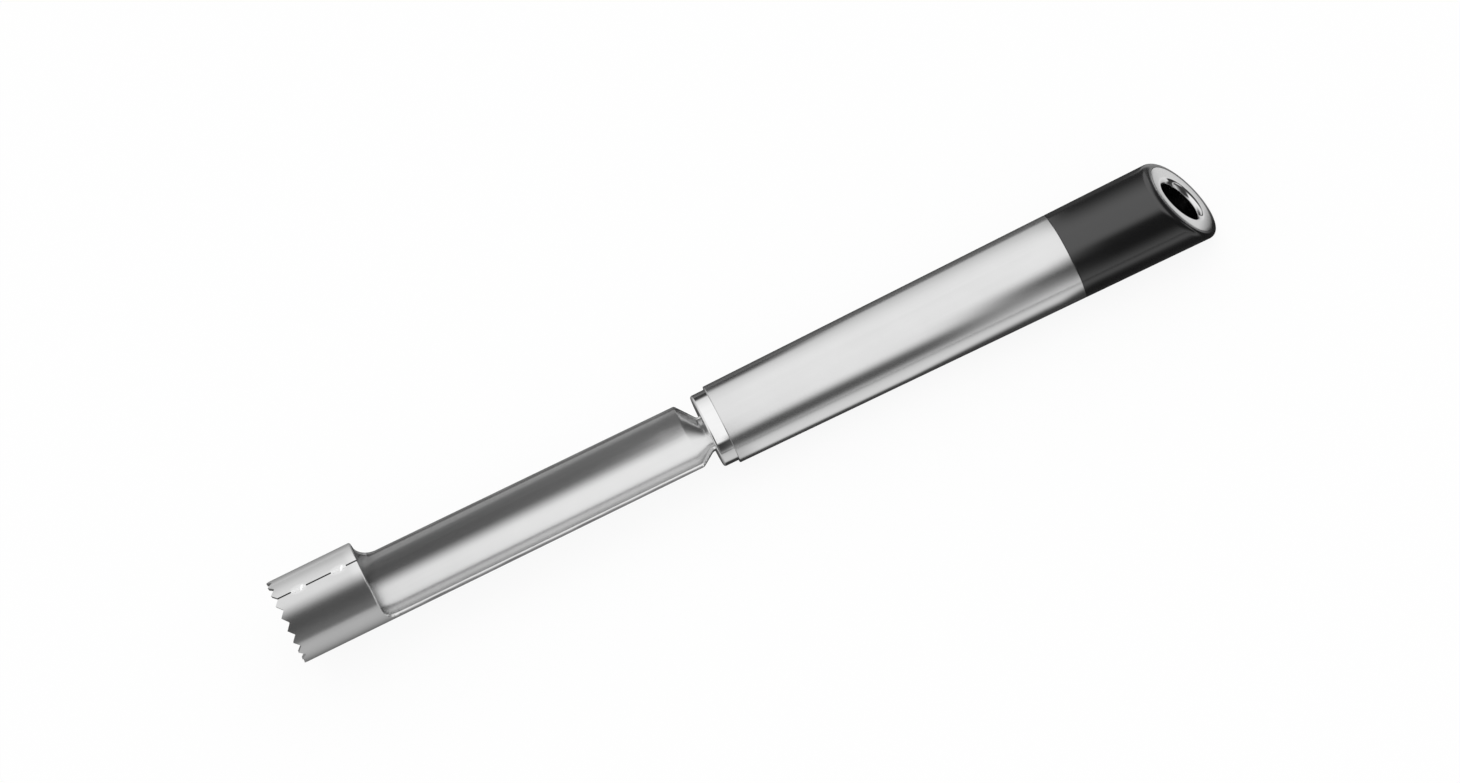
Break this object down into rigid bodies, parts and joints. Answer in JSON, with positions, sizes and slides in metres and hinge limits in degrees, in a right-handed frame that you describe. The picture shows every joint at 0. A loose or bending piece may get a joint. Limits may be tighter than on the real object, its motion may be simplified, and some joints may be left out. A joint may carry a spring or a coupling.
{
  "type": "apple corer",
  "caption": "Hand-held apple corer: a toothed, rolled steel ring and open trough in an oval satin steel grip with a black cap and a lipped hanging hole.",
  "frame": {"origin": "on the axis of the coring ring, in the plane of the tooth roots", "axes": "+X along the ring's axis towards the grip and its hanging hole, +Z out of the open side of the trough, +Y across the tool"},
  "size_m": [0.2493, 0.025, 0.0264],
  "materials": {
    "blade_steel": "polished",
    "weld_steel": "ground",
    "collar_steel": "mirror polished",
    "shell_steel": "satin",
    "holder_plastic": "moulded",
    "pin_steel": "drawn",
    "cap_plastic": "semi-gloss",
    "eyelet_steel": "satin flange, polished lip"
  },
  "bodies": {
    "root": {"corer_blade": "blade_steel", "seam_welds": "weld_steel", "front_collar": "collar_steel", "grip_shell": "shell_steel", "tang_holder": "holder_plastic", "tang_pin": "pin_steel", "end_cap": "cap_plastic", "hang_eyelet": "eyelet_steel"}
  },
  "joints": []
}
